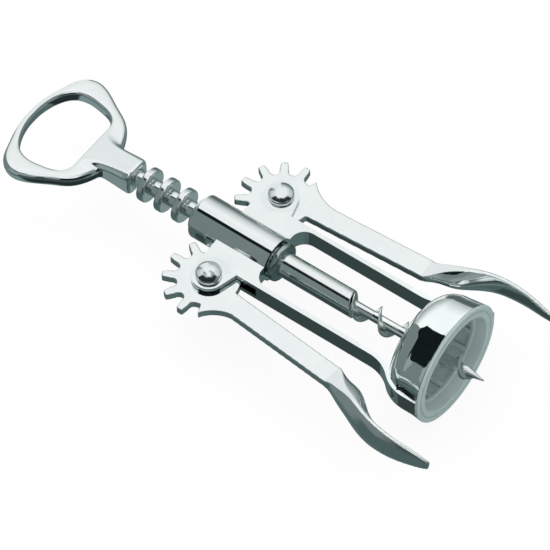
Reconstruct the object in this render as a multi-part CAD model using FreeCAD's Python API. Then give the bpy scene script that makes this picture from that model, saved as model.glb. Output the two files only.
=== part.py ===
import FreeCAD, Part
import math
import os

# Wing corkscrew, lying with its lever plane level.
# The origin is the centre of the mouth that sits on a bottle. +X points out of the mouth, along the
# worm. Y runs across the two levers, and +Z is square to the plane that they swing in.
# All lengths are in millimetres and all angles in degrees.

# --- Frame: barrel, wing plates and legs, one casting ---
mouth_to_pivots = 70.0        # bell mouth to the plane of the two rivets
pivot_half_spacing = 16.45    # shaft axis to a rivet axis
frame_depth = 5.8             # over the two wing plates, and the depth of a leg
wing_plate = 1.4              # one wing plate
barrel_radius = 6.5
ring_clearance = 0.3          # rack rings to the barrel's bore
barrel_above_pivots = 15.2    # barrel end towards the handle
barrel_below_pivots = 10.7    # barrel end towards the bell
barrel_end_round = 1.05
wing_back_edge = 5.4          # wing plate edge behind the pivots, at the barrel
wing_eye_radius = 4.9         # round end of a wing plate about its rivet
leg_start = 6.2               # where a leg's outer face leaves the wing plate
leg_outer = 12.3              # shaft axis to a leg's outer face
leg_thickness = 1.3
window_corner_radius = 4.2
leg_bend_start = 19.7         # bell mouth to the start of the outward bend
leg_bend_length = 15.0
leg_foot_proud = 0.6          # a foot's outer face beyond the bell's mouth

# --- Bell and its plastic liner ---
bell_length = 13.4
bell_mouth_radius = 17.8
bell_flare = 0.7              # mouth radius less shoulder radius
bell_corner_radius = 7.0
bell_wall = 1.4
bell_hole_radius = 4.7        # the shaft passes through here
liner_lip = 0.6               # plastic ring in front of the metal bell
liner_gap = 0.05              # liner to bell, a push fit
liner_lip_width = 3.6         # flat front face, from the rim inwards
liner_groove_radius = 16.1    # shallow groove round the front face, a bead outside it
liner_groove_width = 0.35
liner_groove_depth = 0.35
liner_throat_taper = 0.6      # the smooth throat narrows by this on the radius
liner_throat_depth = 3.4      # mouth to the ledge that a bottle stops on
liner_ledge = 0.8             # width of that ledge
liner_depth = 10.6
liner_floor = 1.6
liner_floor_hole_radius = 8.5
liner_rib_count = 14
liner_rib_width = 1.5
liner_panel_depth = 0.7
liner_panel_margin = 0.9      # plain ring left at each end of the panels

# --- Rack shaft, stop collar and worm ---
rack_pitch = 5.95
rack_ring_radius = 5.1
rack_ring_width = 2.4
rack_ring_round = 0.5
rack_core_radius = 2.45
rack_ring_count = 8
rack_socket_depth = 8.0       # how far the core goes into the handle
shaft_radius = 3.57
shaft_end_short = 34.9        # pivots to the near side of the sloping end
shaft_end_long = 37.6         # pivots to the far side of the sloping end
shaft_end_turn = 30.0         # direction of the short side, from +Y towards +Z
collar_radius = 5.7           # larger than the barrel's bore, so it stops the shaft
collar_width = 2.2
collar_round = 0.9
collar_fit = 0.05             # collar bore to shaft
collar_to_barrel = 0.4        # groove between barrel and collar
worm_core_radius = 1.45
worm_flange_radius = 3.5
worm_flange_root = 1.5        # flange width at the core
worm_flange_edge = 0.3        # flange width at its sharp edge
worm_pitch = 8.7
worm_flange_length = 40.0     # along the shaft, start of the flange to its end
worm_first_turn = 35.6        # pivots to the start of the flange
worm_start_angle = 61.0       # where the flange starts, from +Y towards +Z
worm_tip = 78.9               # pivots to the point
worm_cone_length = 5.6
worm_tip_radius = 0.12
worm_fade = 5.2               # length over which the flange dies away on the point
worm_shank = 8.0              # part of the core held in the shaft
worm_seam_turn = 217.0        # the core's seam, clear of both ends of the flange

# --- Opener handle ---
handle_thickness = 4.0
handle_root = 46.6            # pivots to where the ring leaves the neck
handle_far_end = 75.2         # pivots to the outside of the far bar
handle_half_width = 19.8
handle_wide_at = 65.7         # pivots to the widest part
handle_edge_round = 1.25
handle_hole_far = 73.0        # pivots to the inside of the far bar
handle_hole_half_width = 13.3
handle_hole_wide_at = 64.0
handle_lip = 53.4             # pivots to the straight opener lip
handle_lip_half = 8.4
handle_lip_height = 1.95      # half height of the neck's flared end at the lip
neck_half = 4.5                # half the square section at the neck's open end
neck_end = 36.6               # pivots to the neck's open end
neck_end_round = 0.9
neck_corner = 2.2             # rounding of the neck's four long edges
neck_flare_steps = 6          # sections from the neck's open end to the lip
neck_flare_power = 5.0        # how late the neck widens towards the lip
neck_flare_overlap = 0.5      # how far the flare runs past the lip before the hole cuts it
neck_fit = 0.0                # the core is pressed into the neck

# Outlines of one half of the ring. First number: 0 at the start of the outline, 1 at its widest point,
# 2 at the far end. Second number: share of the half width.
handle_outer_stations = [
    (-0.073, 0.0), (-0.037, 0.24), (0.037, 0.417), (0.199, 0.629), (0.482, 0.793), (0.817, 0.965),
    (1.0, 1.0), (1.326, 0.949), (1.579, 0.828), (1.726, 0.652), (1.916, 0.354), (2.0, 0.0),
]
handle_hole_stations = [
    (0.179, 0.85), (0.642, 0.97), (1.0, 1.0), (1.467, 0.917), (1.8, 0.632), (1.956, 0.308), (2.0, 0.0),
]

# --- Levers and rivets ---
lever_thickness = 2.4
gear_teeth_per_turn = 12
gear_tip_radius = 12.9
gear_root_radius = 8.8
gear_gap_bottom_radius = 1.4
gear_tooth_tip_width = 1.8
gear_tooth_round = 0.45
gear_pocket_clearance = 0.4
gear_gap_reach = 2.0          # how far the cut of a gap runs past the tooth tips
gear_lash_angle = 2.0         # rest turn of the teeth from the middle of a rack gap
first_tooth = -1              # tooth 0 is the one that points at the shaft
last_tooth = 6
right_stub_radius = 11.3      # part tooth that runs into the right arm
left_stub_radius = 12.0       # and into the left arm
stub_tooth_half_angle = 6.0
arm_inner = 1.2               # pivot line to the arm's edge on the shaft's side
arm_outer = 5.0               # pivot line to the arm's outer edge
arm_flat_end = 46.0           # pivot to the start of the leaf-shaped grip
arm_root_reach = 16.5         # where the curve from the last tooth meets the arm
arm_root_hollow = 10.9        # pivot to the deepest point of that curve
right_arm_set = 2.9           # splay of each arm at rest; they are set by hand and differ
left_arm_set = 5.4
rivet_radius = 2.0
rivet_head_radius = 3.65
rivet_head_height = 3.0
rivet_head_wall = 0.8         # upright edge below the rounded corner
rivet_head_round = 1.3        # corner between that edge and the dome
rivet_running_fit = 0.05      # radial clearance of a lever on its rivet

# Grip stations: distance from the pivot, offset from the pivot line, width of the top and bottom edges,
# height, and how far the middle of the inner and of the outer face stand out beyond those edges.
grip_stations = [
    (arm_flat_end, 1.90, 6.2, 2.4, 0.0, 0.0),
    (49.0, 3.15, 4.0, 4.2, 1.6, 0.4),
    (52.0, 4.75, 2.2, 6.2, 3.4, 0.8),
    (55.0, 5.80, 1.4, 7.8, 4.2, 1.1),
    (58.0, 6.85, 1.1, 8.6, 3.8, 1.2),
    (62.0, 8.05, 1.0, 8.8, 2.4, 1.1),
    (66.0, 8.65, 1.0, 8.5, 1.4, 1.0),
    (70.0, 8.70, 1.0, 7.8, 1.0, 0.8),
    (74.0, 8.35, 1.0, 6.8, 0.7, 0.6),
    (78.0, 7.60, 1.0, 5.4, 0.5, 0.5),
    (81.3, 6.95, 0.9, 3.9, 0.3, 0.3),
    (83.6, 6.40, 0.8, 2.2, 0.2, 0.2),
]
grip_lean = 8.0               # the top edge leans towards the shaft
grip_swell_height = 0.15      # share of the height from the middle up to the fullest part inside

# --- Sizes that follow from the ones above ---
bell_shoulder_radius = bell_mouth_radius - bell_flare
leg_foot_outer = bell_mouth_radius + leg_foot_proud
liner_mouth_radius = bell_mouth_radius - liner_lip_width
liner_throat_radius = liner_mouth_radius - liner_throat_taper
liner_rib_radius = liner_throat_radius - liner_ledge
gear_pitch_angle = 360.0 / gear_teeth_per_turn
wing_gap = frame_depth - 2.0 * wing_plate
pocket_radius = gear_tip_radius + gear_pocket_clearance
leg_inner = leg_outer - leg_thickness
barrel_bore_radius = rack_ring_radius + ring_clearance
bell_back = -bell_length
bell_front = -liner_lip
collar_start = barrel_below_pivots + collar_to_barrel
first_ring = -rack_pitch * (rack_ring_count - 2.5)

X_AXIS = FreeCAD.Vector(1, 0, 0)
Y_AXIS = FreeCAD.Vector(0, 1, 0)
Z_AXIS = FreeCAD.Vector(0, 0, 1)
ORIGIN = FreeCAD.Vector(0, 0, 0)


def vec(x, y, z=0.0):
    return FreeCAD.Vector(x, y, z)


def line(a, b):
    return Part.LineSegment(a, b).toShape()


def arc(a, middle, b):
    return Part.Arc(a, middle, b).toShape()


def spline(points):
    curve = Part.BSplineCurve()
    curve.interpolate(points)
    return curve.toShape()


def polar(centre, radius, angle):
    turn = math.radians(angle)
    return centre + vec(radius * math.cos(turn), radius * math.sin(turn))


def rod(radius, start, end):
    """A cylinder about the shaft axis, from start to end measured from the pivots."""
    place = vec(start - mouth_to_pivots, 0)
    return Part.makeCylinder(radius, end - start, place, X_AXIS)


def plate(edges, thickness):
    """A flat plate of an outline in the lever plane, centred on that plane."""
    face = Part.Face(Part.Wire(edges))
    solid = face.extrude(Z_AXIS * thickness)
    solid.translate(Z_AXIS * (-thickness / 2.0))
    return solid


def from_pivots(shape):
    """Moves a shape drawn from the plane of the pivots to its place behind the mouth."""
    shape.translate(vec(-mouth_to_pivots, 0))
    return shape


def mirrored(shape):
    return shape.mirror(ORIGIN, Y_AXIS)


def round_edges(shape, radius, wanted):
    """Rounds the edges that wanted() picks, by their centres of mass and lengths."""
    edges = [edge for edge in shape.Edges if wanted(edge)]
    return shape.makeFillet(radius, edges)


def save(name, shape):
    if shape.ShapeType != "Solid" and len(shape.Solids) == 1:
        shape = shape.Solids[0]
    shape.exportStep("parts/" + name + ".step")
    print(name, "solids", len(shape.Solids), "valid", shape.isValid(), "volume", round(shape.Volume, 2))


# ---------------------------------------------------------------- frame


def wing_outline():
    """One wing plate with its leg, on the +Y side, drawn from the pivots."""
    eye = vec(0, pivot_half_spacing)
    corner = vec(leg_start, leg_outer)
    reach = corner.sub(eye)
    lean = math.degrees(math.atan2(reach.y, reach.x))
    touch_angle = lean + math.degrees(math.acos(wing_eye_radius / reach.Length))
    touch = polar(eye, wing_eye_radius, touch_angle)
    eye_back = polar(eye, wing_eye_radius, 180.0)
    eye_top = polar(eye, wing_eye_radius, (180.0 + touch_angle) / 2.0)
    inside = barrel_radius * 0.75
    back = vec(-wing_back_edge, inside)
    window = vec(barrel_below_pivots, inside)

    bend_x = mouth_to_pivots - leg_bend_start
    foot_x = bend_x + leg_bend_length
    rise = leg_foot_outer - leg_outer
    bend = (leg_bend_length ** 2 + rise ** 2) / (4.0 * rise)
    half_turn = math.degrees(math.asin(leg_bend_length / (2.0 * bend)))
    first = vec(bend_x, leg_outer + bend)
    second = vec(foot_x, leg_foot_outer - bend)
    foot_end = mouth_to_pivots + bell_front

    corner_x = barrel_below_pivots + window_corner_radius
    corner_y = leg_inner - window_corner_radius
    fillet_centre = vec(corner_x, corner_y)

    return [
        line(back, eye_back),
        arc(eye_back, eye_top, touch),
        line(touch, corner),
        line(corner, vec(bend_x, leg_outer)),
        arc(vec(bend_x, leg_outer), polar(first, bend, half_turn / 2 - 90),
            polar(first, bend, half_turn - 90)),
        arc(polar(second, bend, half_turn + 90), polar(second, bend, half_turn / 2 + 90),
            vec(foot_x, leg_foot_outer)),
        line(vec(foot_x, leg_foot_outer), vec(foot_end, leg_foot_outer)),
        line(vec(foot_end, leg_foot_outer), vec(foot_end, leg_foot_outer - leg_thickness)),
        line(vec(foot_end, leg_foot_outer - leg_thickness), vec(foot_x, leg_foot_outer - leg_thickness)),
        arc(vec(foot_x, leg_foot_outer - leg_thickness),
            polar(second, bend - leg_thickness, half_turn / 2 + 90),
            polar(second, bend - leg_thickness, half_turn + 90)),
        arc(polar(first, bend + leg_thickness, half_turn - 90),
            polar(first, bend + leg_thickness, half_turn / 2 - 90), vec(bend_x, leg_inner)),
        line(vec(bend_x, leg_inner), vec(corner_x, leg_inner)),
        arc(vec(corner_x, leg_inner), polar(fillet_centre, window_corner_radius, 135),
            vec(barrel_below_pivots, corner_y)),
        line(vec(barrel_below_pivots, corner_y), window),
        line(window, back),
    ]


def make_frame():
    wing = from_pivots(plate(wing_outline(), frame_depth))
    barrel = rod(barrel_radius, -barrel_above_pivots, barrel_below_pivots)
    end_x = -barrel_above_pivots - mouth_to_pivots
    barrel = round_edges(barrel, barrel_end_round, lambda edge: abs(edge.CenterOfMass.x - end_x) < 0.01)
    frame = barrel.fuse([wing, mirrored(wing)])
    cuts = [rod(barrel_bore_radius, -barrel_above_pivots - 1, barrel_below_pivots + 1), bell_body()]
    for side in (1, -1):
        eye = vec(-mouth_to_pivots, side * pivot_half_spacing)
        pocket_foot = eye - Z_AXIS * (wing_gap / 2.0)
        cuts.append(Part.makeCylinder(pocket_radius, wing_gap, pocket_foot, Z_AXIS))
        hole_foot = eye - Z_AXIS * frame_depth
        cuts.append(Part.makeCylinder(rivet_radius, 2 * frame_depth, hole_foot, Z_AXIS))
    return frame.cut(cuts)


# ---------------------------------------------------------------- bell and liner


def revolve(edges):
    face = Part.Face(Part.Wire(edges))
    return face.revolve(ORIGIN, X_AXIS, 360)


def revolved_polygon(points):
    """A solid turned about the shaft axis from corners drawn from the pivots."""
    corners = [vec(x, radius) for x, radius in points]
    return from_pivots(revolve(Part.makePolygon(corners + corners[:1]).Edges))


def bell_profile(offset, front_x):
    """Outline of the bell's outside, or of a surface that lies offset inside it, down to the axis."""
    back_x = bell_back + offset
    bend = bell_corner_radius - offset
    centre = vec(bell_back + bell_corner_radius, bell_shoulder_radius - bell_corner_radius)
    flat_end = vec(back_x, centre.y)
    shoulder = vec(centre.x, bell_shoulder_radius - offset)
    front = vec(front_x, bell_mouth_radius - offset)
    return [
        line(vec(back_x, 0), flat_end),
        arc(flat_end, polar(centre, bend, 135), shoulder),
        line(shoulder, front),
        line(front, vec(front_x, 0)),
        line(vec(front_x, 0), vec(back_x, 0)),
    ]


def bell_body():
    return revolve(bell_profile(0.0, bell_front))


def make_bell():
    hollow = revolve(bell_profile(bell_wall, bell_front))
    hole = rod(bell_hole_radius, mouth_to_pivots - bell_length - 1, mouth_to_pivots)
    return bell_body().cut([hollow, hole])


def make_liner():
    outer = bell_wall + liner_gap
    body = revolve(bell_profile(outer, bell_front))
    keep = rod(bell_mouth_radius, mouth_to_pivots - liner_depth, mouth_to_pivots + bell_front)
    lip = rod(bell_mouth_radius, mouth_to_pivots - liner_lip, mouth_to_pivots)
    lip = round_edges(lip, liner_lip * 0.35, lambda edge: abs(edge.CenterOfMass.x) < 0.01)
    body = body.common(keep).fuse(lip).cut(liner_groove())

    ledge_x = -liner_throat_depth
    floor_x = liner_floor - liner_depth
    throat = revolved_polygon([
        (mouth_to_pivots + floor_x, 0),
        (mouth_to_pivots + floor_x, liner_rib_radius),
        (mouth_to_pivots + ledge_x, liner_rib_radius),
        (mouth_to_pivots + ledge_x, liner_throat_radius),
        (mouth_to_pivots, liner_mouth_radius),
        (mouth_to_pivots + liner_lip, liner_mouth_radius),
        (mouth_to_pivots + liner_lip, 0),
    ])
    floor_hole = rod(liner_floor_hole_radius, mouth_to_pivots - liner_depth - 1, mouth_to_pivots)
    body = body.cut([throat, floor_hole])
    return body.cut(liner_panels(floor_x + liner_panel_margin, ledge_x - liner_panel_margin))


def liner_groove():
    outside = rod(liner_groove_radius + liner_groove_width / 2.0, mouth_to_pivots - liner_groove_depth,
                  mouth_to_pivots + liner_lip)
    inside = rod(liner_groove_radius - liner_groove_width / 2.0, 0, mouth_to_pivots + liner_lip)
    return outside.cut(inside)


def liner_panels(start, end):
    """Shallow panels between the lengthwise ribs inside the liner."""
    length = end - start
    ring = Part.makeCylinder(liner_rib_radius + liner_panel_depth, length, vec(start, 0), X_AXIS)
    ribs = []
    for index in range(liner_rib_count):
        rib = Part.makeBox(3.0 * length, liner_rib_width, bell_mouth_radius,
                           vec(start - length, -liner_rib_width / 2.0, 0))
        rib.rotate(ORIGIN, X_AXIS, index * 360.0 / liner_rib_count)
        ribs.append(rib)
    return ring.cut(ribs)


# ---------------------------------------------------------------- shaft, collar and worm


def make_rack_shaft():
    core_start = -neck_end - rack_socket_depth
    core = rod(rack_core_radius, core_start, collar_start)
    shaft = rod(shaft_radius, collar_start - rack_ring_width, shaft_end_long)
    solid = core.fuse(shaft)
    for index in range(rack_ring_count):
        middle = first_ring + index * rack_pitch
        ring = rod(rack_ring_radius, middle - rack_ring_width / 2.0, middle + rack_ring_width / 2.0)
        ring = round_edges(ring, rack_ring_round, lambda edge: edge.Length > 2.0 * rack_ring_radius)
        solid = solid.fuse(ring)
    socket = rod(worm_core_radius, worm_first_turn - worm_shank, shaft_end_long + 1)
    return solid.cut([shaft_end_cutter(), socket])


def shaft_end_cutter():
    """The stock ground off the shaft's end, which leaves it sloping."""
    end_slope = shaft_end_long - shaft_end_short
    wedge = Part.Face(Part.makePolygon([
        vec(shaft_end_short, shaft_radius * 1.01),
        vec(shaft_end_long + 1.0, shaft_radius * 1.01),
        vec(shaft_end_long + 1.0, -shaft_radius * 1.01 - shaft_radius / end_slope),
        vec(shaft_end_long, -shaft_radius * 1.01),
        vec(shaft_end_short, shaft_radius * 1.01),
    ])).extrude(Z_AXIS * 4.0 * shaft_radius)
    wedge.translate(Z_AXIS * -2.0 * shaft_radius)
    wedge.rotate(ORIGIN, X_AXIS, shaft_end_turn)
    return from_pivots(wedge)


def make_stop_collar():
    collar = rod(collar_radius, collar_start, collar_start + collar_width)
    collar = round_edges(collar, collar_round, lambda edge: edge.Length > 2.0 * collar_radius)
    bore = rod(shaft_radius + collar_fit, collar_start - 1, collar_start + collar_width + 1)
    return collar.cut(bore)


def make_worm():
    cone_start = worm_tip - worm_cone_length
    shank_start = worm_first_turn - worm_shank
    core = revolved_polygon([(shank_start, 0), (shank_start, worm_core_radius),
                             (cone_start, worm_core_radius), (worm_tip, worm_tip_radius), (worm_tip, 0)])
    core.rotate(ORIGIN, X_AXIS, worm_seam_turn)
    start_x = worm_first_turn - mouth_to_pivots
    inner = worm_core_radius * 0.8
    helix = Part.makeHelix(worm_pitch, worm_flange_length, inner)
    helix.rotate(ORIGIN, Y_AXIS, 90)
    helix.rotate(ORIGIN, X_AXIS, worm_start_angle + 90)
    helix.translate(vec(start_x, 0))
    start = helix.Vertexes[0].Point
    out = vec(0, start.y, start.z).normalize()
    foot = vec(start_x, 0) + out * inner
    edge = vec(start_x, 0) + out * worm_flange_radius
    section = Part.makePolygon([
        foot - X_AXIS * (worm_flange_root / 2.0),
        edge - X_AXIS * (worm_flange_edge / 2.0),
        edge + X_AXIS * (worm_flange_edge / 2.0),
        foot + X_AXIS * (worm_flange_root / 2.0),
        foot - X_AXIS * (worm_flange_root / 2.0),
    ])
    flange = Part.Wire(helix).makePipeShell([section], True, True)
    shaft_end = rod(shaft_radius, shank_start, shaft_end_long + 1).cut(shaft_end_cutter())
    fade_start = cone_start - worm_pitch / 4.0
    room = worm_flange_radius * 1.2
    envelope = revolved_polygon([(shank_start, 0), (shank_start, room), (fade_start, room),
                                 (fade_start + worm_fade, worm_core_radius / 2.0),
                                 (fade_start + worm_fade, 0)])
    return core.fuse(flange.cut(shaft_end).common(envelope))


# ---------------------------------------------------------------- handle


def half_outline(points):
    """A closed outline that is even about the shaft axis, from its +Y half."""
    far_side = [vec(p.x, -p.y) for p in reversed(points)]
    return points + far_side[1:]


def outline_points(stations, start, widest, end, half_width):
    """Points of half an outline, from stations along it to places behind the pivots."""
    points = []
    for along, share in stations:
        x = start + (widest - start) * min(along, 1.0) + (end - widest) * max(along - 1.0, 0.0)
        points.append(vec(-x, share * half_width))
    return points


def make_handle():
    outer_points = half_outline(outline_points(
        handle_outer_stations, handle_root, handle_wide_at, handle_far_end, handle_half_width))
    ring = plate([spline(outer_points)], handle_thickness)
    ring = round_edges(ring, handle_edge_round, lambda edge: edge.Length > handle_half_width)

    lip_corner = vec(-handle_lip, handle_lip_half)
    lip_foot = vec(-handle_lip, -handle_lip_half)
    hole_curve = half_outline([lip_corner] + outline_points(
        handle_hole_stations, handle_lip, handle_hole_wide_at, handle_hole_far, handle_hole_half_width))
    hole = plate([spline(hole_curve), line(lip_foot, lip_corner)], 4.0 * handle_thickness)

    solid = ring.fuse(neck()).cut(hole)
    socket = rod(rack_core_radius + neck_fit, -neck_end - rack_socket_depth, -neck_end + 1)
    return from_pivots(solid).cut(socket)


def neck_section(distance, half_width, half_height, corner):
    """A rectangle with rounded corners across the shaft axis, some way behind the pivots."""
    edges = []
    for quarter in range(4):
        upright = quarter % 2
        across, along = (half_height, half_width) if upright else (half_width, half_height)
        centre = vec(across - corner, along - corner)
        edge_start = vec(across, corner - along)
        edge_end = vec(across, along - corner)
        next_start = vec(across - corner, along)
        side = line(edge_start, edge_end)
        bend = arc(edge_end, polar(centre, corner, 45), next_start)
        for edge in (side, bend):
            edge.rotate(ORIGIN, Z_AXIS, 90.0 * quarter)
            edges.append(edge)
    section = Part.Wire(edges)
    section.rotate(ORIGIN, X_AXIS, 90)
    section.rotate(ORIGIN, Z_AXIS, 90)
    section.translate(vec(-distance, 0))
    return section


def neck():
    """The square neck flattening evenly, and widening late, into the opener lip."""
    end = handle_lip + neck_flare_overlap
    sections = []
    for index in range(neck_flare_steps + 1):
        share = index / neck_flare_steps
        half_width = neck_half + (handle_lip_half - neck_half) * share ** neck_flare_power
        half_height = neck_half + (handle_lip_height - neck_half) * share
        corner = neck_corner * half_height / neck_half
        distance = neck_end + (end - neck_end) * share
        sections.append(neck_section(distance, half_width, half_height, corner))
    solid = Part.makeLoft(sections, True, False)
    return round_edges(solid, neck_end_round, lambda edge: abs(edge.CenterOfMass.x + neck_end) < 0.01)


# ---------------------------------------------------------------- levers and rivets


def gap_cutter(angle):
    """One gap between two gear teeth, open past the tips."""
    bottom_centre = gear_root_radius + gear_gap_bottom_radius
    tip_pitch = 2.0 * math.pi * gear_tip_radius / gear_teeth_per_turn
    tip_half = (tip_pitch - gear_tooth_tip_width) / 2.0
    slope = (tip_half - gear_gap_bottom_radius) / (gear_tip_radius - bottom_centre)
    far = gear_tip_radius + gear_gap_reach
    far_half = tip_half + slope * gear_gap_reach
    low = vec(bottom_centre, -gear_gap_bottom_radius)
    high = vec(bottom_centre, gear_gap_bottom_radius)
    cutter = plate([
        arc(low, vec(gear_root_radius, 0), high),
        line(high, vec(far, far_half)),
        line(vec(far, far_half), vec(far, -far_half)),
        line(vec(far, -far_half), low),
    ], 2.0 * lever_thickness)
    cutter.rotate(ORIGIN, Z_AXIS, angle)
    return cutter


def gear_sector():
    """The toothed end of a +Y lever about its pivot, with tooth 0 pointing at the shaft."""
    turn = 270.0 + gear_lash_angle
    first = turn - first_tooth * gear_pitch_angle
    last = turn - last_tooth * gear_pitch_angle
    half = gear_pitch_angle / 2.0
    tips = Part.makeCylinder(gear_tip_radius, lever_thickness, ORIGIN, Z_AXIS, first - last + 2 * half)
    tips.rotate(ORIGIN, Z_AXIS, last - half)
    tips.translate(Z_AXIS * (-lever_thickness / 2.0))
    cutters = [gap_cutter(turn - (index - 0.5) * gear_pitch_angle)
               for index in range(first_tooth, last_tooth + 2)]
    tips = tips.cut(cutters)
    tips = round_edges(tips, gear_tooth_round, is_tooth_corner)
    hub = Part.makeCylinder(gear_root_radius, lever_thickness, Z_AXIS * (-lever_thickness / 2.0), Z_AXIS)
    return tips.fuse(hub)


def is_tooth_corner(edge):
    """True for the short upright edges where a tooth's flank meets its tip."""
    middle = edge.CenterOfMass
    upright = abs(middle.z) < 0.01 and abs(edge.Length - lever_thickness) < 0.01
    return upright and abs(math.hypot(middle.x, middle.y) - gear_tip_radius) < 0.01


def grip_section(station):
    """One section of the grip: outer face, bottom edge, inner face and top edge."""
    along, offset, width, height, inner_reach, outer_reach = station
    across = Y_AXIS * (width / 2.0)
    up = (Z_AXIS - Y_AXIS * math.tan(math.radians(grip_lean))) * (height / 2.0)
    middle = vec(along, offset)
    top_outer = middle + across + up
    low_outer = middle + across - up
    low_inner = middle - across - up
    top_inner = middle - across + up
    outer_middle = middle + across + Y_AXIS * outer_reach
    inner_middle = middle - across - Y_AXIS * inner_reach + Z_AXIS * (height * grip_swell_height)
    return Part.Wire([
        spline([top_outer, outer_middle, low_outer]),
        line(low_outer, low_inner),
        spline([low_inner, inner_middle, top_inner]),
        line(top_inner, top_outer),
    ])


def make_lever(arm_set, stub_radius):
    """The +Y lever: gear, flat arm and twisted grip, with the pivot hole at its origin."""
    arm = plate([
        line(vec(0, -arm_inner), vec(arm_flat_end, -arm_inner)),
        line(vec(arm_flat_end, -arm_inner), vec(arm_flat_end, arm_outer)),
        line(vec(arm_flat_end, arm_outer), vec(arm_root_reach, arm_outer)),
        line(vec(arm_root_reach, arm_outer), vec(0, arm_outer)),
        line(vec(0, arm_outer), vec(0, -arm_inner)),
    ], lever_thickness)
    grip = Part.makeLoft([grip_section(station) for station in grip_stations], True, False)
    arm = arm.fuse(grip)
    arm.rotate(ORIGIN, Z_AXIS, arm_set)
    stub_angle = 270.0 + gear_lash_angle - (last_tooth + 1) * gear_pitch_angle + stub_tooth_half_angle
    stub = polar(ORIGIN, stub_radius, stub_angle)
    reach_radius = math.hypot(arm_root_reach, arm_outer)
    reach_angle = math.degrees(math.atan2(arm_outer, arm_root_reach)) + arm_set
    reach = polar(ORIGIN, reach_radius, reach_angle)
    hollow = polar(ORIGIN, arm_root_hollow, (stub_angle + reach_angle) / 2.0)
    root = plate([line(ORIGIN, stub), arc(stub, hollow, reach), line(reach, ORIGIN)], lever_thickness)
    lever = gear_sector().fuse([root, arm])
    bore = Part.makeCylinder(rivet_radius + rivet_running_fit, 2 * lever_thickness,
                             Z_AXIS * -lever_thickness, Z_AXIS)
    lever = lever.cut(bore)
    lever.translate(vec(-mouth_to_pivots, pivot_half_spacing))
    return lever


def rivet_head():
    """A head with a short upright edge, a rounded corner and a shallow dome, standing on the wing plate."""
    corner = vec(rivet_head_radius - rivet_head_round, rivet_head_wall)
    rise = rivet_head_height - rivet_head_wall
    dome_radius = (corner.x ** 2 + rise ** 2 - rivet_head_round ** 2) / (2.0 * (rise - rivet_head_round))
    dome_centre = vec(0, rivet_head_height - dome_radius)
    slope = math.degrees(math.atan2(corner.y - dome_centre.y, corner.x))
    edge = vec(rivet_head_radius, rivet_head_wall)
    joint = polar(corner, rivet_head_round, slope)
    top = vec(0, rivet_head_height)
    face = Part.Face(Part.Wire([
        line(ORIGIN, vec(rivet_head_radius, 0)),
        line(vec(rivet_head_radius, 0), edge),
        arc(edge, polar(corner, rivet_head_round, slope / 2.0), joint),
        arc(joint, polar(dome_centre, dome_radius, (slope + 90.0) / 2.0), top),
        line(top, ORIGIN),
    ]))
    head = face.revolve(ORIGIN, Y_AXIS, 360)
    head.rotate(ORIGIN, X_AXIS, 90)
    head.translate(Z_AXIS * (frame_depth / 2.0))
    return head


def make_rivet(side):
    shank = Part.makeCylinder(rivet_radius, frame_depth, Z_AXIS * (-frame_depth / 2.0), Z_AXIS)
    head = rivet_head()
    tail = head.mirror(ORIGIN, Z_AXIS)
    rivet = shank.fuse([head, tail])
    rivet.translate(vec(-mouth_to_pivots, side * pivot_half_spacing))
    return rivet


def main():
    os.makedirs("parts", exist_ok=True)
    save("frame", make_frame())
    save("bell", make_bell())
    save("bottle_liner", make_liner())
    save("rack_shaft", make_rack_shaft())
    save("stop_collar", make_stop_collar())
    save("worm", make_worm())
    save("opener_handle", make_handle())
    save("right_lever", make_lever(right_arm_set, right_stub_radius))
    save("left_lever", mirrored(make_lever(left_arm_set, left_stub_radius)))
    save("right_rivet", make_rivet(1))
    save("left_rivet", make_rivet(-1))


main()
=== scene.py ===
import math

import bmesh
import bpy
from bpy.props import FloatProperty, FloatVectorProperty, IntProperty, PointerProperty
from mathutils import Matrix, Vector


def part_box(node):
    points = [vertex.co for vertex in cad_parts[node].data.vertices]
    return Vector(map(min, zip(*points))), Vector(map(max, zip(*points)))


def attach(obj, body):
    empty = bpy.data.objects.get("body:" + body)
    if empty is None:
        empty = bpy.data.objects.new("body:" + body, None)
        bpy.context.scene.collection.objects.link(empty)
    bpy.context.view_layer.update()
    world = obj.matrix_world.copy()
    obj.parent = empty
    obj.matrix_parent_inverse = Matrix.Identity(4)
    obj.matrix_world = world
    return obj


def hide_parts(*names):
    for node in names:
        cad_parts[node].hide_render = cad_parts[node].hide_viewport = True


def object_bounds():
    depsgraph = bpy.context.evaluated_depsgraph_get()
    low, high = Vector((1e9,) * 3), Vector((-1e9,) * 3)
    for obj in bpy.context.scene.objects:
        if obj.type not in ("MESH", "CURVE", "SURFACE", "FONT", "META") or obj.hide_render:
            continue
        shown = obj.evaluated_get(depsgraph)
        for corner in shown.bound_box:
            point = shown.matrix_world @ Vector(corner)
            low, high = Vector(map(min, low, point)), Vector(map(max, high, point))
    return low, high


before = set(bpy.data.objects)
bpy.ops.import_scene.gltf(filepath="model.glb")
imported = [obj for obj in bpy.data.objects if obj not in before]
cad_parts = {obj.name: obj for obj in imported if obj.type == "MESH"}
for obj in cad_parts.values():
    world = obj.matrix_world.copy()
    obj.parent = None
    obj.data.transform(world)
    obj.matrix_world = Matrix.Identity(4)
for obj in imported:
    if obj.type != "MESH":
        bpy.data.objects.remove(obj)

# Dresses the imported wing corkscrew: chromed frame, bell, levers and handle, plated worm and frosted
# liner, on a pale studio floor. Everything is in metres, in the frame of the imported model: +X out of
# the bell's mouth, +Y across the levers and +Z square to the plane that they swing in.

bl_info = {
    "name": "Wing corkscrew finishes",
    "version": (1, 0, 0),
    "blender": (4, 5, 0),
    "location": "3D View > Sidebar > Corkscrew",
    "description": "Builds the finished pieces of a wing corkscrew and its studio",
    "category": "Object",
}

cad_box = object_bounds()
MM = 0.001


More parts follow.
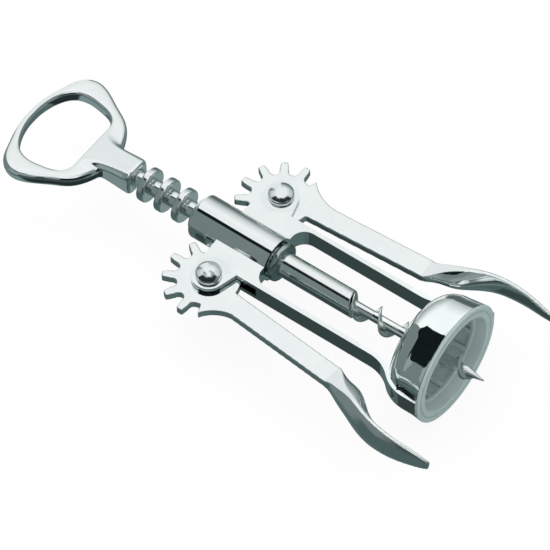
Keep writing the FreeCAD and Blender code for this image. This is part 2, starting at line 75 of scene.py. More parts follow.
def node_low(node):
    """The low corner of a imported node's box."""
    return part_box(node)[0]


def node_high(node):
    """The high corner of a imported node's box."""
    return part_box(node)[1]


# ---------------------------------------------------------------- settings


class ChromeSettings(bpy.types.PropertyGroup):
    """Colours and softness of the plated pieces."""

    tint: FloatVectorProperty(
        name="Tint", description="Colour of clean chrome", subtype="COLOR", size=3,
        default=(0.83, 0.875, 0.865))
    roughness: FloatProperty(
        name="Roughness", description="Roughness of the bright plating", default=0.035, min=0.0,
        max=1.0, subtype="FACTOR")
    cast_waviness: FloatProperty(
        name="Cast waviness", description="Depth of the slow waves left by casting and buffing",
        default=0.00006, unit="LENGTH")
    satin_roughness: FloatProperty(
        name="Satin roughness", description="Roughness of the rivets", default=0.15,
        min=0.0, max=1.0, subtype="FACTOR")
    plate_edge: FloatProperty(
        name="Plate edge", description="Rounding of the stamped and cast edges", default=0.0003,
        unit="LENGTH")
    handle_edge: FloatProperty(
        name="Handle edge", description="Rounding of the handle's finger hole", default=0.0009,
        unit="LENGTH")
    cast_grain: FloatProperty(
        name="Cast grain", description="Spacing of the points that a cast piece is rebuilt with",
        default=0.00022, unit="LENGTH")
    handle_buffing: IntProperty(
        name="Handle buffing", description="Smoothing passes over the handle", default=110, min=0)
    lever_buffing: IntProperty(
        name="Lever buffing", description="Smoothing passes over the levers", default=4, min=0)
    # Darker tint of the stop collar: painted shade that stands in for the dark reflections the collar
    # shows. Its own roughness below gives its duller plating.
    collar_shaded_tint: FloatVectorProperty(
        name="Collar tint", description="Colour of the stop collar's duller plating", subtype="COLOR",
        size=3, default=(0.42, 0.48, 0.475))
    collar_roughness: FloatProperty(
        name="Collar roughness", description="Roughness of the stop collar", default=0.12, min=0.0,
        max=1.0, subtype="FACTOR")


class RackSettings(bpy.types.PropertyGroup):
    """Sizes of the rack shaft and its rings."""

    core_radius: FloatProperty(
        name="Core radius", description="Shaft between the rings", default=0.00245, unit="LENGTH")
    shaft_radius: FloatProperty(
        name="Shaft radius", description="Plain end that carries the worm", default=0.00357,
        unit="LENGTH")
    shaft_start: FloatProperty(
        name="Shaft start", description="Where the plain end begins", default=-0.0613, unit="LENGTH")
    end_slope: FloatProperty(
        name="End slope", description="Height of the sloping end", default=0.0027, unit="LENGTH")
    end_turn: FloatProperty(
        name="End turn", description="Direction of the short side of the sloping end",
        default=math.radians(30.0), subtype="ANGLE")
    end_round: FloatProperty(
        name="End rounding", description="Softened edges of the plain end", default=0.00015,
        unit="LENGTH")
    ring_count: IntProperty(name="Rings", description="Number of rack rings", default=8, min=1)
    ring_pitch: FloatProperty(
        name="Ring pitch", description="Middle to middle", default=0.00595, unit="LENGTH")
    first_ring: FloatProperty(
        name="First ring", description="Middle of the ring next to the handle", default=-0.102725,
        unit="LENGTH")
    ring_radius: FloatProperty(
        name="Ring radius", description="Outer radius", default=0.0051, unit="LENGTH")
    ring_width: FloatProperty(
        name="Ring width", description="Along the shaft", default=0.0024, unit="LENGTH")
    ring_round: FloatProperty(
        name="Ring rounding", description="Rounded rim", default=0.0006, unit="LENGTH")


class WormSettings(bpy.types.PropertyGroup):
    """Colour and softness of the worm."""

    tint: FloatVectorProperty(
        name="Tint", description="Colour of the plated worm", subtype="COLOR", size=3,
        default=(0.86, 0.89, 0.885))
    roughness: FloatProperty(
        name="Roughness", description="Roughness of the worm", default=0.14, min=0.0, max=1.0,
        subtype="FACTOR")


class LinerSettings(bpy.types.PropertyGroup):
    """Frosted plastic ring in the bell."""

    tint: FloatVectorProperty(
        name="Tint", description="Colour of the frosted plastic", subtype="COLOR", size=3,
        default=(0.48, 0.605, 0.59))
    roughness: FloatProperty(
        name="Roughness", description="Frosting", default=0.36, min=0.0, max=1.0, subtype="FACTOR")
    clearness: FloatProperty(
        name="Clearness", description="How much light goes through", default=0.2, min=0.0, max=1.0,
        subtype="FACTOR")
    gloss: FloatProperty(
        name="Gloss", description="Clear gloss over the frosting", default=0.5, min=0.0, max=1.0,
        subtype="FACTOR")
    gloss_roughness: FloatProperty(
        name="Gloss roughness", description="Softness of the gloss", default=0.12, min=0.0, max=1.0,
        subtype="FACTOR")
    rib_count: IntProperty(name="Ribs", description="Ribs round the throat", default=14, min=1)
    rib_width: FloatProperty(
        name="Rib width", description="Across a rib", default=0.0015, unit="LENGTH")
    rib_radius: FloatProperty(
        name="Rib radius", description="Shaft axis to a rib's face", default=0.0128, unit="LENGTH")
    groove_radius: FloatProperty(
        name="Groove radius", description="Shallow groove round the front face", default=0.0161,
        unit="LENGTH")
    panel_radius: FloatProperty(
        name="Panel radius", description="Shaft axis to the wall between ribs", default=0.0135,
        unit="LENGTH")


class StudioSettings(bpy.types.PropertyGroup):
    """Camera, floor and the light panels round the object."""

    sensor: FloatProperty(name="Sensor", description="Width of the camera's sensor, in mm", default=36.0)
    lens: FloatProperty(name="Lens", description="Focal length, in mm", default=283.92)
    distance: FloatProperty(
        name="Distance", description="Camera to the point that it aims at", default=1.1719,
        unit="LENGTH")
    aim: FloatVectorProperty(
        name="Aim", description="Point in the middle of the view", size=3, subtype="TRANSLATION",
        default=(-0.0567, -0.0045, 0.0))
    turn: FloatProperty(
        name="Turn", description="Compass direction of the view, from +X towards +Y",
        default=math.radians(127.57), subtype="ANGLE")
    tilt: FloatProperty(
        name="Tilt", description="How steeply the camera looks down", default=math.radians(53.82),
        subtype="ANGLE")
    roll: FloatProperty(
        name="Roll", description="Turn of the camera about its own axis", default=math.radians(1.37),
        subtype="ANGLE")
    floor_colour: FloatVectorProperty(
        name="Floor", description="Colour of the floor", subtype="COLOR", size=3,
        default=(0.93, 0.93, 0.93))
    shadow: FloatProperty(
        name="Shadow", description="How strongly the floor shows the object's shadow", default=0.1,
        min=0.0, max=1.0, subtype="FACTOR")
    floor_size: FloatProperty(
        name="Floor size", description="Side of the square floor", default=4.0, unit="LENGTH")
    lamp_place: FloatVectorProperty(
        name="Lamp place", description="Middle of the soft lamp", size=3,
        subtype="TRANSLATION", default=(-0.25, 0.25, 0.9))
    lamp_size: FloatVectorProperty(
        name="Lamp size", description="Length and width of the soft lamp", size=2, unit="LENGTH",
        default=(0.9, 0.7))
    lamp_energy: FloatProperty(
        name="Lamp energy", description="Power of the soft lamp", default=3.0, unit="POWER")


# ---------------------------------------------------------------- node helpers


# Noise in the plating: bumps per metre of the smudges and the hairlines, and the level at which each
# leaves the gloss as it is.
SMUDGE_SCALE, SMUDGE_LEVEL = 160.0, 0.45
HAIRLINE_SCALE, HAIRLINE_LEVEL = 900.0, 0.5
# Noise levels of the darkest and the lightest tone, and the share of each colour left in the darkest.
DARK_LEVEL, LIGHT_LEVEL = 0.3, 0.7
PLATING_DARK = 0.95, 0.955, 0.96
PLASTIC_DARK = 0.92, 0.92, 0.92
# Frosting: bumps per metre of its grain and its clouds, the sway of its roughness and its depth.
FROST_SCALE, CLOUD_SCALE = 700.0, 120.0
FROST_SWAY, FROST_DEPTH = 0.08, 0.00003
PLASTIC_IOR = 1.49
WHITE = (1.0, 1.0, 1.0, 1.0)


def set_inputs(tree, node, inputs):
    """Links or sets a node's named or numbered inputs."""
    for key, value in inputs.items():
        if isinstance(value, bpy.types.NodeSocket):
            tree.links.new(value, node.inputs[key])
        else:
            node.inputs[key].default_value = value


def new_tree_node(tree, kind, inputs=None, **settings):
    """Adds a node, sets its plain attributes and its inputs."""
    node = tree.nodes.new(kind)
    for name, value in settings.items():
        setattr(node, name, value)
    set_inputs(tree, node, inputs or {})
    return node


def maths(tree, operation, first, second=0.0, clamp=False):
    """The result of one maths node."""
    return new_tree_node(tree, "ShaderNodeMath", {0: first, 1: second}, operation=operation,
                         use_clamp=clamp).outputs[0]


def vector_maths(tree, operation, inputs, output="Vector"):
    """The result of one vector maths node."""
    return new_tree_node(tree, "ShaderNodeVectorMath", inputs, operation=operation).outputs[output]


def mixed(tree, factor, first, second):
    """The first colour turned into the second by a factor."""
    return new_tree_node(tree, "ShaderNodeMix", {"Factor": factor, 6: first, 7: second},
                         data_type="RGBA").outputs[2]


def group_sockets(group, inputs, outputs):
    """Gives a node group its inputs and outputs, as names by kind of socket."""
    for in_out, sockets in (("INPUT", inputs), ("OUTPUT", outputs)):
        for kind, names in sockets.items():
            for name in names:
                group.interface.new_socket(name=name, in_out=in_out, socket_type="NodeSocket" + kind)


def new_material(name):
    """A new material and its node tree."""
    material = bpy.data.materials.new(name)
    material.use_nodes = True
    return material, material.node_tree


def show_mix(tree, factor, first, second):
    """Shows a mix of two shader nodes as the material's surface."""
    both = new_tree_node(tree, "ShaderNodeMixShader", {
        0: factor, 1: first.outputs[0], 2: second.outputs[0]})
    tree.links.new(both.outputs[0], tree.nodes["Material Output"].inputs["Surface"])


def noise(tree, place, scale, detail, **more):
    """A noise level from 0 to 1 at a place."""
    inputs = {"Vector": place, "Scale": scale, "Detail": detail, **more}
    return new_tree_node(tree, "ShaderNodeTexNoise", inputs).outputs["Fac"]


def cloudy_tones(tree, level, tint, dark):
    """A tint that darkens slowly where a noise level is low."""
    darkest = [value * share for value, share in zip(tint, dark)]
    ramp = new_tree_node(tree, "ShaderNodeValToRGB", {"Fac": level})
    stops = zip(ramp.color_ramp.elements, (DARK_LEVEL, LIGHT_LEVEL), (darkest, tint))
    for stop, place, colour in stops:
        stop.position = place
        stop.color = tuple(colour) + (1.0,)
    return ramp.outputs["Color"]


def polish_marks_group():
    """Shared finish: slow buffing waves, hairline scratches and smudges in the gloss."""
    group = bpy.data.node_groups.get("polish_marks")
    if group:
        return group
    group = bpy.data.node_groups.new("polish_marks", "ShaderNodeTree")
    group_sockets(group, {
        "Float": ("Wave size", "Base roughness", "Smudge", "Scratch"), "Vector": ("Grain direction",),
    }, {"Float": ("Roughness", "Height", "Tone")})
    entry = group.nodes.new("NodeGroupInput").outputs
    place = new_tree_node(group, "ShaderNodeTexCoord").outputs["Object"]
    waves = noise(group, place, entry["Wave size"], 1.0)
    smudges = noise(group, place, SMUDGE_SCALE, 4.0, Roughness=0.6)
    stretched = vector_maths(group, "MULTIPLY", {0: place, 1: entry["Grain direction"]})
    hairlines = noise(group, stretched, HAIRLINE_SCALE, 3.0, Roughness=0.7)
    smudge_part = maths(group, "MULTIPLY", maths(group, "SUBTRACT", smudges, SMUDGE_LEVEL),
                        entry["Smudge"])
    scratch_part = maths(group, "MULTIPLY", maths(group, "SUBTRACT", hairlines, HAIRLINE_LEVEL),
                         entry["Scratch"])
    total = maths(group, "ADD", maths(group, "ADD", smudge_part, scratch_part),
                  entry["Base roughness"], clamp=True)
    new_tree_node(group, "NodeGroupOutput", {"Roughness": total, "Height": waves, "Tone": smudges})
    return group


def plated_material(name, tint, roughness, waviness, wave_size=90.0, smudge=0.03, scratch=0.02,
                    grain=(1.0, 8.0, 8.0)):
    """A mirror-like plated metal whose gloss, colour and surface all vary a little."""
    material, tree = new_material(name)
    marks = new_tree_node(tree, "ShaderNodeGroup", {
        "Wave size": wave_size, "Base roughness": roughness, "Smudge": smudge, "Scratch": scratch,
        "Grain direction": grain}, node_tree=polish_marks_group()).outputs
    bump = new_tree_node(tree, "ShaderNodeBump", {
        "Height": marks["Height"], "Strength": 1.0, "Distance": waviness})
    set_inputs(tree, tree.nodes["Principled BSDF"], {
        "Metallic": 1.0, "Base Color": cloudy_tones(tree, marks["Tone"], tint, PLATING_DARK),
        "Roughness": marks["Roughness"], "Normal": bump.outputs["Normal"]})
    return material


def chrome_material(name, waviness_share=1.0, roughness=None, **marks):
    """Bright chrome with a share of the casting's waves, and its own roughness where one is given."""
    chrome = bpy.context.scene.corkscrew_chrome
    if roughness is None:
        roughness = chrome.roughness
    return plated_material(name, chrome.tint, roughness, chrome.cast_waviness * waviness_share, **marks)


def frosted_plastic(liner):
    """Clouded plastic with a fine grain under a thin gloss."""
    material, tree = new_material("frosted_plastic")
    place = new_tree_node(tree, "ShaderNodeTexCoord").outputs["Object"]
    frost = noise(tree, place, FROST_SCALE, 3.0)
    clouds = noise(tree, place, CLOUD_SCALE, 2.0)
    rough = new_tree_node(tree, "ShaderNodeMapRange", {
        "Value": frost, "From Min": DARK_LEVEL, "From Max": LIGHT_LEVEL,
        "To Min": liner.roughness - FROST_SWAY, "To Max": liner.roughness + FROST_SWAY})
    bump = new_tree_node(tree, "ShaderNodeBump", {
        "Height": frost, "Strength": 0.6, "Distance": FROST_DEPTH})
    set_inputs(tree, tree.nodes["Principled BSDF"], {
        "IOR": PLASTIC_IOR, "Transmission Weight": liner.clearness, "Coat Weight": liner.gloss,
        "Coat Roughness": liner.gloss_roughness, "Roughness": rough.outputs["Result"],
        "Base Color": cloudy_tones(tree, clouds, liner.tint, PLASTIC_DARK),
        "Normal": bump.outputs["Normal"]})
    return material


# ---------------------------------------------------------------- mesh helpers


# Points closer than this are one point.
JOIN_DISTANCE = 0.000002
# Angles between two faces, in degrees: still one flat face, an edge to round, an edge shaded sharp.
FLAT_ANGLE, HARD_ANGLE, SHADE_ANGLE = 0.04, 28.0, 38.0
# How strongly broad faces lead the shading of the rounded edges beside them.
FACE_WEIGHT = 60
# Steps round a turned shaft or ring, a turned liner, and a bar's rounded corner.
SHAFT_STEPS, LINER_STEPS, CORNER_STEPS = 96, 128, 5


def new_piece(name, mesh, material, body):
    """Puts a finished mesh in the scene as a piece with its material, riding on a body."""
    piece = bpy.data.objects.new(name, mesh)
    bpy.context.scene.collection.objects.link(piece)
    mesh.materials.clear()
    mesh.materials.append(material)
    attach(piece, body)
    return piece


def plain_mesh(piece):
    """Turns a piece and its modifiers into one plain mesh."""
    graph = bpy.context.evaluated_depsgraph_get()
    graph.update()
    mesh = bpy.data.meshes.new_from_object(piece.evaluated_get(graph))
    piece.modifiers.clear()
    piece.data = mesh


def merged_copy(node):
    """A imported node's mesh with its loose triangles joined and its flat faces made whole."""
    mesh = bmesh.new()
    mesh.from_mesh(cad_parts[node].data)
    bmesh.ops.remove_doubles(mesh, verts=mesh.verts, dist=JOIN_DISTANCE)
    bmesh.ops.dissolve_limit(mesh, angle_limit=math.radians(FLAT_ANGLE), verts=mesh.verts,
                             edges=mesh.edges)
    return mesh


def round_hard_edges(mesh, edge_round, segments=2, sharp=HARD_ANGLE, wanted=None):
    """Rounds the hard edges of a mesh, or those of them that are wanted."""
    hard = [edge for edge in mesh.edges
            if len(edge.link_faces) == 2 and edge.calc_face_angle(0.0) > math.radians(sharp)
            and (wanted is None or wanted(edge))]
    bmesh.ops.bevel(mesh, geom=hard, offset=edge_round, offset_type="OFFSET", segments=segments,
                    profile=0.5, affect="EDGES", clamp_overlap=True)


def mesh_from(mesh, name, sharp=SHADE_ANGLE):
    """Closes a mesh under construction and shades it smooth between its sharp edges."""
    bmesh.ops.triangulate(mesh, faces=mesh.faces)
    result = bpy.data.meshes.new(name)
    mesh.to_mesh(result)
    mesh.free()
    result.shade_smooth()
    if sharp:
        result.set_sharp_from_angle(angle=math.radians(sharp))
    return result


def even_normals(piece, sharp=SHADE_ANGLE):
    """Shades a piece smooth between its sharp edges and keeps its broad faces true."""
    piece.data.shade_smooth()
    piece.data.set_sharp_from_angle(angle=math.radians(sharp))
    modifier = piece.modifiers.new("even_normals", "WEIGHTED_NORMAL")
    modifier.keep_sharp = True
    modifier.weight = FACE_WEIGHT
    plain_mesh(piece)


def finished_node(node, material, body, edge_round=0.0):
    """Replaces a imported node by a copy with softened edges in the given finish."""
    mesh = merged_copy(node)
    if edge_round > 0.0:
        round_hard_edges(mesh, edge_round)
    piece = new_piece(node + "_piece", mesh_from(mesh, node + "_finished"), material, body)
    even_normals(piece)
    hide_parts(node)


def cast_node(node, material, body, mesh, grain, passes):
    """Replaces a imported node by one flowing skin, as casting, forging and buffing leave it."""
    piece = new_piece(node + "_piece", mesh_from(mesh, node + "_cast", sharp=0.0), material, body)
    remesh = piece.modifiers.new("skin", "REMESH")
    remesh.mode = "VOXEL"
    remesh.voxel_size = grain
    remesh.use_smooth_shade = True
    smooth = piece.modifiers.new("buffing", "SMOOTH")
    smooth.factor = 0.5
    smooth.iterations = passes
    plain_mesh(piece)
    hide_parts(node)


def turned(mesh, outline, steps, closed):
    """Turns an outline of (x, radius) points about the shaft axis; an open one gets flat ends."""
    turns = [2.0 * math.pi * step / steps for step in range(steps)]
    rings = [[mesh.verts.new((x, radius * math.cos(turn), radius * math.sin(turn))) for turn in turns]
             for x, radius in outline]
    for first, second in zip(rings, rings[1:] + (rings[:1] if closed else [])):
        for step in range(steps):
            after = (step + 1) % steps
            mesh.faces.new((first[step], first[after], second[after], second[step]))
    if not closed:
        mesh.faces.new(rings[0])
        mesh.faces.new(rings[-1])
    bmesh.ops.recalc_face_normals(mesh, faces=mesh.faces)


# ---------------------------------------------------------------- geometry nodes


STILL = (0.0, 0.0, 0.0)


def rounded_bar(tree, path, width, height, edge_round):
    """A bar of rounded rectangular section along a path."""
    section = new_tree_node(tree, "GeometryNodeCurvePrimitiveQuadrilateral", {
        "Width": width, "Height": height}).outputs["Curve"]
    rounded = new_tree_node(tree, "GeometryNodeFilletCurve", {
        "Curve": section, "Count": CORNER_STEPS, "Radius": edge_round}, mode="POLY").outputs["Curve"]
    return new_tree_node(tree, "GeometryNodeCurveToMesh", {
        "Curve": path, "Profile Curve": rounded, "Fill Caps": True}).outputs["Mesh"]


def row_tree(name, sizes, build_bar, build_place):
    """A tree that adds a row of equal bars to the piece it is put on.

    build_place gives the shift from one bar to the next and each bar's own turn.
    """
    tree = bpy.data.node_groups.new(name, "GeometryNodeTree")
    group_sockets(tree, {
        "Geometry": ("Geometry",), "Int": ("Count",), "Float": sizes, "Material": ("Material",),
    }, {"Geometry": ("Geometry",)})
    entry = tree.nodes.new("NodeGroupInput").outputs
    bar = build_bar(tree, entry)
    shift, turn = build_place(tree, entry)
    points = new_tree_node(tree, "GeometryNodeMeshLine", {
        "Count": entry["Count"], "Offset": shift}, mode="OFFSET")
    copies = new_tree_node(tree, "GeometryNodeInstanceOnPoints", {
        "Points": points.outputs["Mesh"], "Instance": bar, "Rotation": turn})
    real = new_tree_node(tree, "GeometryNodeRealizeInstances", {
        "Geometry": copies.outputs["Instances"]})
    joined = tree.nodes.new("GeometryNodeJoinGeometry")
    tree.links.new(real.outputs["Geometry"], joined.inputs["Geometry"])
    tree.links.new(entry["Geometry"], joined.inputs["Geometry"])
    painted = new_tree_node(tree, "GeometryNodeSetMaterial", {
        "Geometry": joined.outputs["Geometry"], "Material": entry["Material"]})
    new_tree_node(tree, "NodeGroupOutput", {"Geometry": painted.outputs["Geometry"]})
    return tree


def combined(tree, **parts):
    """A vector of the given X, Y and Z."""
    return new_tree_node(tree, "ShaderNodeCombineXYZ", parts).outputs["Vector"]


def rack_ring_tree():
    """Rings along the shaft."""
    def ring(tree, entry):
        half_depth = maths(tree, "MULTIPLY", entry["Depth"], 0.5)
        middle = maths(tree, "SUBTRACT", entry["Radius"], half_depth)
        circle = new_tree_node(tree, "GeometryNodeCurvePrimitiveCircle", {
            "Resolution": SHAFT_STEPS, "Radius": middle}, mode="RADIUS").outputs["Curve"]
        flat = rounded_bar(tree, circle, entry["Depth"], entry["Width"], entry["Rounding"])
        return new_tree_node(tree, "GeometryNodeTransform", {
            "Geometry": flat, "Translation": combined(tree, X=entry["First"]),
            "Rotation": (0.0, math.pi / 2.0, 0.0)}).outputs["Geometry"]

    def along(tree, entry):
        return combined(tree, X=entry["Pitch"]), STILL

    return row_tree("rack_rings", ("First", "Pitch", "Radius", "Depth", "Width", "Rounding"), ring,
                    along)


def liner_rib_tree():
    """Ribs lengthwise round the throat."""
    def rib(tree, entry):
        half_depth = maths(tree, "MULTIPLY", entry["Depth"], 0.5)
        middle = maths(tree, "ADD", entry["Radius"], half_depth)
        path = new_tree_node(tree, "GeometryNodeCurvePrimitiveLine", {
            "Start": combined(tree, X=entry["Start"], Z=middle),
            "End": combined(tree, X=entry["End"], Z=middle)}, mode="POINTS").outputs["Curve"]
        return rounded_bar(tree, path, entry["Width"], entry["Depth"], entry["Rounding"])

    def round_axis(tree, entry):
        index = new_tree_node(tree, "GeometryNodeInputIndex").outputs["Index"]
        step = maths(tree, "DIVIDE", 2.0 * math.pi, entry["Count"])
        return STILL, combined(tree, X=maths(tree, "MULTIPLY", index, step))

    return row_tree("liner_ribs", ("Radius", "Depth", "Width", "Start", "End", "Rounding"), rib,
                    round_axis)


def add_row(piece, tree, values):
    """Runs a row tree on a piece with named values and keeps the result as a plain mesh."""
    modifier = piece.modifiers.new(tree.name, "NODES")
    modifier.node_group = tree
    for item in tree.interface.items_tree:
        if item.in_out == "INPUT" and item.name in values:
            modifier[item.identifier] = values[item.name]
    plain_mesh(piece)


# ---------------------------------------------------------------- operators


class CORKSCREW_OT_frame(bpy.types.Operator):
    """Finishes the cast frame: barrel, wing plates and legs"""

    bl_idname = "corkscrew.frame"
    bl_label = "Frame"

    def execute(self, context):
        chrome = context.scene.corkscrew_chrome
        material = chrome_material("chromed_casting")
        finished_node("frame", material, "frame", chrome.plate_edge)
        return {"FINISHED"}


class CORKSCREW_OT_bell(bpy.types.Operator):
    """Finishes the chromed sheet bell"""

    bl_idname = "corkscrew.bell"
    bl_label = "Bell"

    def execute(self, context):
        chrome = context.scene.corkscrew_chrome
        material = chrome_material("chromed_bell", waviness_share=0.6, wave_size=60.0)
        finished_node("bell", material, "frame", chrome.plate_edge)
        return {"FINISHED"}


# The liner's lip and the ledge inside it, from its front face, the radius of the hole in its floor, the
# floor's thickness and the plain band at each end of the wall between the ribs.
LIP = -0.6 * MM
LEDGE = -3.4 * MM
FLOOR_BORE = 8.5 * MM
FLOOR_THICKNESS = 1.6 * MM
PANEL_MARGIN = 0.9 * MM
RIB_SINK, RIB_OVERLAP, RIB_ROUND = 0.2 * MM, 0.1 * MM, 0.25 * MM
LINER_SHADE_ANGLE = 30.0


def liner_panels():
    """Where the sunk wall between the ribs starts and ends along the shaft axis."""
    floor = node_low("bottle_liner")[0] + FLOOR_THICKNESS
    return floor + PANEL_MARGIN, LEDGE - PANEL_MARGIN


def liner_outline(liner):
    """Points (x, radius) round the liner's section, from its back by the outside to the floor."""
    rim = node_high("bottle_liner")[1]
    deep = node_low("bottle_liner")[0]
    floor = deep + FLOOR_THICKNESS
    start, end = liner_panels()
    groove = liner.groove_radius
    back = [
        (deep, FLOOR_BORE), (deep, 13.5 * MM), (-9.5 * MM, 14.6 * MM), (-8.0 * MM, 15.3 * MM),
        (-6.4 * MM, 15.6 * MM)]
    lip = [
        (LIP, rim - 1.6 * MM), (LIP, rim), (-0.4 * MM, rim), (-0.15 * MM, rim - 0.1 * MM),
        (0.0, rim - 0.4 * MM)]
    face = [
        (0.0, groove + 0.6 * MM), (-0.1 * MM, groove + 0.3 * MM), (-0.35 * MM, groove + 0.16 * MM),
        (-0.35 * MM, groove - 0.16 * MM), (-0.1 * MM, groove - 0.22 * MM), (0.0, groove - 0.4 * MM)]
    slope = [
        (0.0, rim - 3.3 * MM), (-0.1 * MM, rim - 3.5 * MM), (-0.3 * MM, rim - 3.65 * MM),
        (LEDGE + 0.1 * MM, rim - 4.2 * MM), (LEDGE, rim - 4.3 * MM)]
    throat = [
        (LEDGE, liner.rib_radius + 0.15 * MM), (LEDGE - 0.15 * MM, liner.rib_radius),
        (end, liner.rib_radius), (end, liner.panel_radius), (start, liner.panel_radius),
        (start, liner.rib_radius), (floor, liner.rib_radius), (floor, FLOOR_BORE)]
    return back + lip + face + slope + throat


class CORKSCREW_OT_liner(bpy.types.Operator):
    """Finishes the frosted plastic liner"""

    bl_idname = "corkscrew.liner"
    bl_label = "Bottle liner"

    def execute(self, context):
        liner = context.scene.corkscrew_liner
        material = frosted_plastic(liner)
        panel_start, panel_end = liner_panels()
        mesh = bmesh.new()
        turned(mesh, liner_outline(liner), LINER_STEPS, closed=True)
        mesh = mesh_from(mesh, "bottle_liner_turned", LINER_SHADE_ANGLE)
        piece = new_piece("bottle_liner_piece", mesh, material, "frame")
        add_row(piece, liner_rib_tree(), {
            "Count": liner.rib_count, "Radius": liner.rib_radius, "Width": liner.rib_width,
            "Depth": liner.panel_radius - liner.rib_radius + RIB_SINK,
            "Start": panel_start - RIB_OVERLAP, "End": panel_end + RIB_OVERLAP,
            "Rounding": RIB_ROUND, "Material": material})
        even_normals(piece, LINER_SHADE_ANGLE)
        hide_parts("bottle_liner")
        return {"FINISHED"}


# How deep the rings sink into the shaft's core.
RING_SINK = 0.3 * MM


def cut_sloping_end(mesh, rack, far_end):
    """Cuts the shaft's far end on a slope, closes it and returns the edges of the cut."""
    side = Vector((0.0, math.cos(rack.end_turn), math.sin(rack.end_turn)))
    middle = Vector((far_end - rack.end_slope / 2.0, 0.0, 0.0))
    square = Vector((2.0 * rack.shaft_radius, 0.0, 0.0)) + side * rack.end_slope
    cut = bmesh.ops.bisect_plane(
        mesh, geom=mesh.verts[:] + mesh.edges[:] + mesh.faces[:], plane_co=middle,
        plane_no=square.normalized(), clear_outer=True)
    rim = [part for part in cut["geom_cut"] if isinstance(part, bmesh.types.BMEdge)]
    bmesh.ops.contextual_create(mesh, geom=rim)
    return rim


class CORKSCREW_OT_shaft(bpy.types.Operator):
    """Finishes the rack shaft and the stop collar"""

    bl_idname = "corkscrew.shaft"
    bl_label = "Rack shaft and stop collar"

    def execute(self, context):
        rack = context.scene.corkscrew_rack
        chrome = context.scene.corkscrew_chrome
        material = chrome_material("chromed_shaft", waviness_share=0.4, roughness=0.1, smudge=0.06,
                                   scratch=0.08, grain=(8.0, 1.0, 1.0))
        far_end = node_high("rack_shaft")[0]
        mesh = bmesh.new()
        turned(mesh, [
            (node_low("rack_shaft")[0], rack.core_radius), (rack.shaft_start, rack.core_radius),
            (rack.shaft_start, rack.shaft_radius), (far_end + rack.end_slope, rack.shaft_radius),
        ], SHAFT_STEPS, closed=False)
        rim = cut_sloping_end(mesh, rack, far_end)
        round_hard_edges(mesh, rack.end_round,
                         wanted=lambda edge: edge in rim or edge.verts[0].co.x > rack.first_ring)
        piece = new_piece("rack_shaft_piece", mesh_from(mesh, "rack_shaft_turned"), material, "screw")
        add_row(piece, rack_ring_tree(), {
            "Count": rack.ring_count, "First": rack.first_ring, "Pitch": rack.ring_pitch,
            "Radius": rack.ring_radius, "Depth": rack.ring_radius - rack.core_radius + RING_SINK,
            "Width": rack.ring_width, "Rounding": rack.ring_round, "Material": material})
        even_normals(piece)
        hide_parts("rack_shaft")
        # The collar's darkened tint is painted shade for its dark reflections.
        collar = plated_material("chromed_collar_shaded", chrome.collar_shaded_tint, chrome.collar_roughness,
                                 waviness=0.0001, smudge=0.06)
        finished_node("stop_collar", collar, "carriage")
        return {"FINISHED"}


class CORKSCREW_OT_worm(bpy.types.Operator):
    """Finishes the worm"""

    bl_idname = "corkscrew.worm"
    bl_label = "Worm"

    def execute(self, context):
        worm = context.scene.corkscrew_worm
        material = plated_material("worm_steel", worm.tint, worm.roughness, waviness=0.00005,
                                   wave_size=300.0, smudge=0.12, scratch=0.1)
        finished_node("worm", material, "screw")
        return {"FINISHED"}


# From the handle's far end to the opener's lip, whose edges stay crisp.
OPENER_LIP = 21.3 * MM


class CORKSCREW_OT_handle(bpy.types.Operator):
    """Finishes the opener handle"""

    bl_idname = "corkscrew.handle"
    bl_label = "Opener handle"

    def execute(self, context):
        chrome = context.scene.corkscrew_chrome
        material = chrome_material("chromed_handle", waviness_share=1.4, wave_size=70.0, roughness=0.06)
        lip = node_low("opener_handle")[0] + OPENER_LIP
        mesh = merged_copy("opener_handle")
        round_hard_edges(mesh, chrome.handle_edge, segments=3, sharp=60.0,
                         wanted=lambda edge: max(vert.co.x for vert in edge.verts) < lip)
        cast_node("opener_handle", material, "screw", mesh, chrome.cast_grain,
                  chrome.handle_buffing)
        return {"FINISHED"}


class CORKSCREW_OT_levers(bpy.types.Operator):
    """Finishes the two toothed levers"""

    bl_idname = "corkscrew.levers"
    bl_label = "Levers"

    def execute(self, context):
        chrome = context.scene.corkscrew_chrome
        material = chrome_material("chromed_lever", waviness_share=0.8)
        for side in ("right", "left"):
            node = side + "_lever"
            cast_node(node, material, node, merged_copy(node), chrome.cast_grain,
                      chrome.lever_buffing)
        return {"FINISHED"}


class CORKSCREW_OT_rivets(bpy.types.Operator):
    """Finishes the two pivot rivets"""

    bl_idname = "corkscrew.rivets"
    bl_label = "Rivets"

    def execute(self, context):
        chrome = context.scene.corkscrew_chrome
        material = chrome_material("chromed_rivet", waviness_share=0.5, roughness=chrome.satin_roughness,
                                   smudge=0.1, scratch=0.12)
        for side in ("right", "left"):
            finished_node(side + "_rivet", material, "frame")
        return {"FINISHED"}


# ---------------------------------------------------------------- studio


